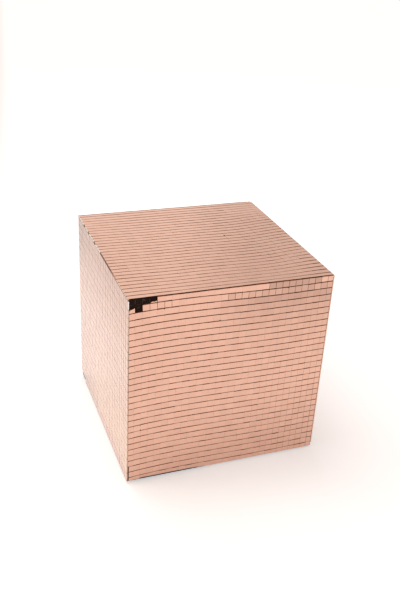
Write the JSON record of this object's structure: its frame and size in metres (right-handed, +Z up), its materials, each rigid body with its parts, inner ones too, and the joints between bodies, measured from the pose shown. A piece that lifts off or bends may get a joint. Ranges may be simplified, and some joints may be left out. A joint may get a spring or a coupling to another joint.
{
  "type": "mirror mosaic display cube",
  "caption": "Hollow board cube on felt pads, clad in small rose-gold mirror mosaic tiles, for display or as a plinth.",
  "frame": {"origin": "on the floor under the middle of the cube, at the underside of the felt pads", "axes": "+Z up; the front face, with the broken corner at its top left, looks along -Y; +X is to the right when facing the front"},
  "size_m": [0.3, 0.3, 0.302],
  "materials": {
    "mirror_tile": "rose-gold mirror glass, polished, with raw cut edges",
    "backing": "black woven adhesive backing with glue residue",
    "carcass": "fibreboard, rolled black paint, satin",
    "softwood": "planed pine, bare",
    "steel": "bright drawn steel",
    "screw": "yellow zinc plated",
    "felt": "dense dark grey felt"
  },
  "bodies": {
    "root": {"front_panel": "carcass", "back_panel": "carcass", "left_panel": "carcass", "right_panel": "carcass", "top_panel": "carcass", "base_panel": "carcass", "front_left_post": "softwood", "front_right_post": "softwood", "back_left_post": "softwood", "back_right_post": "softwood", "front_top_cleat": "softwood", "back_top_cleat": "softwood", "left_top_cleat": "softwood", "right_top_cleat": "softwood", "front_base_cleat": "softwood", "back_base_cleat": "softwood", "left_base_cleat": "softwood", "right_base_cleat": "softwood", "panel_pins": "steel", "base_screws": "screw", "front_backing": "backing", "back_backing": "backing", "left_backing": "backing", "right_backing": "backing", "top_backing": "backing", "front_tiles": "mirror_tile", "front_tile_shards": "mirror_tile", "back_tiles": "mirror_tile", "left_tiles": "mirror_tile", "right_tiles": "mirror_tile", "top_tiles": "mirror_tile", "front_left_pad": "felt", "front_right_pad": "felt", "back_left_pad": "felt", "back_right_pad": "felt"}
  },
  "joints": []
}
